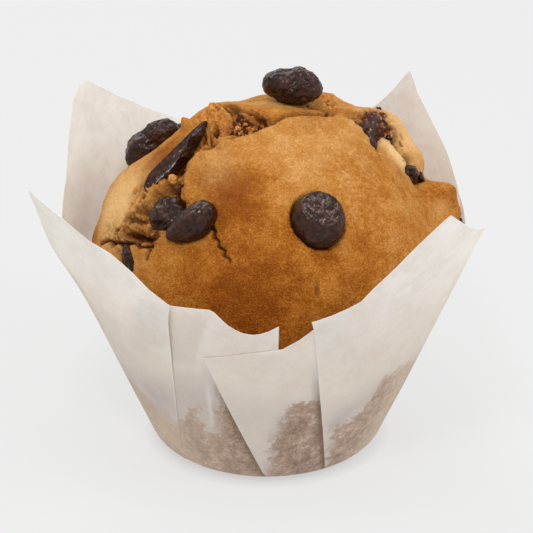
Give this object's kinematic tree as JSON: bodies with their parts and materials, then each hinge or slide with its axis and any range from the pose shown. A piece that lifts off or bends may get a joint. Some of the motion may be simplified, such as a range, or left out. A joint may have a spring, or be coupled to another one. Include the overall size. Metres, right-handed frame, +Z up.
{
  "type": "muffin",
  "caption": "Domed muffin with dark chocolate pieces in a cracked golden crust, standing in a pleated paper tulip case with raised petals.",
  "frame": {"origin": "the middle of the case's flat underside, on the surface that the muffin stands on", "axes": "+Z up; -Y is the front, where the paper's rim is lowest and the shallow pleats meet; +X is to the right of someone who faces the front"},
  "size_m": [0.104, 0.0979, 0.0919],
  "materials": {
    "case_paper": "matte",
    "crust": "matte",
    "chocolate": "satin"
  },
  "bodies": {
    "root": {"paper_case": "case_paper", "muffin_body": "crust", "chip_front": "chocolate", "chip_top": "chocolate", "chip_bean": "chocolate", "chip_lump": "chocolate", "chip_shard": "chocolate", "chip_rear_left": "chocolate", "chip_crack_high": "chocolate", "chip_crack_low": "chocolate", "chip_low_left": "chocolate", "chip_rim_right": "chocolate", "chip_back_high": "chocolate", "chip_back_left": "chocolate", "chip_back_right": "chocolate", "chip_back_low": "chocolate"}
  },
  "joints": []
}
